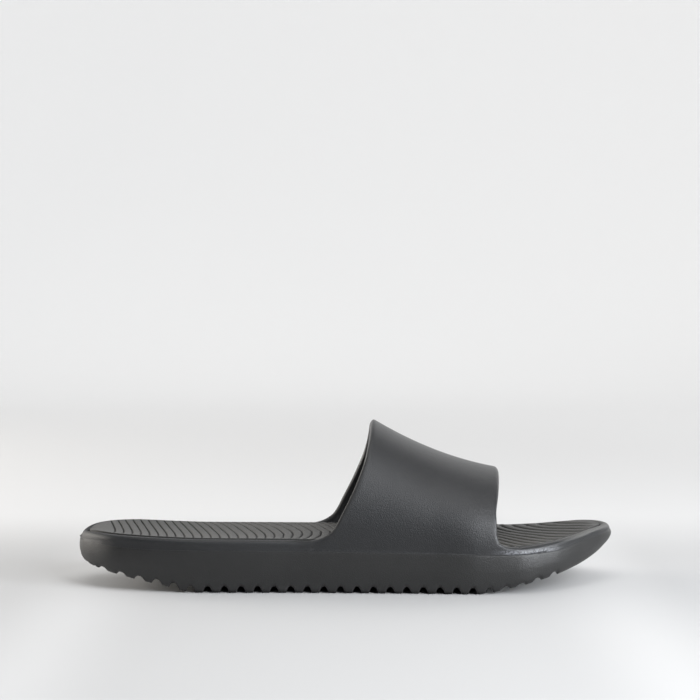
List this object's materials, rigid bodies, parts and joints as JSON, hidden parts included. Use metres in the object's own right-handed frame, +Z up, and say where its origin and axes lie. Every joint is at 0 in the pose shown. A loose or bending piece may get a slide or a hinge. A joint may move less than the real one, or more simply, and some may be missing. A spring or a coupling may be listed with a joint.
{
  "type": "beach sandal",
  "caption": "Moulded foam pool slide for the right foot: broad open strap, rippled footbed in a low rim, barred sole with heel bevel and toe spring.",
  "frame": {"origin": "on the floor under the middle of the slide's bounding box", "axes": "+X from heel to toe, +Y from the outer side to the inner side of the right foot, +Z up"},
  "size_m": [0.2854, 0.104, 0.0862],
  "materials": {
    "sole_foam": "matt moulded foam",
    "upper_foam": "satin moulded foam",
    "footbed_foam": "matt speckled foam"
  },
  "bodies": {
    "root": {"sole": "sole_foam", "upper": "upper_foam", "footbed": "footbed_foam"}
  },
  "joints": []
}
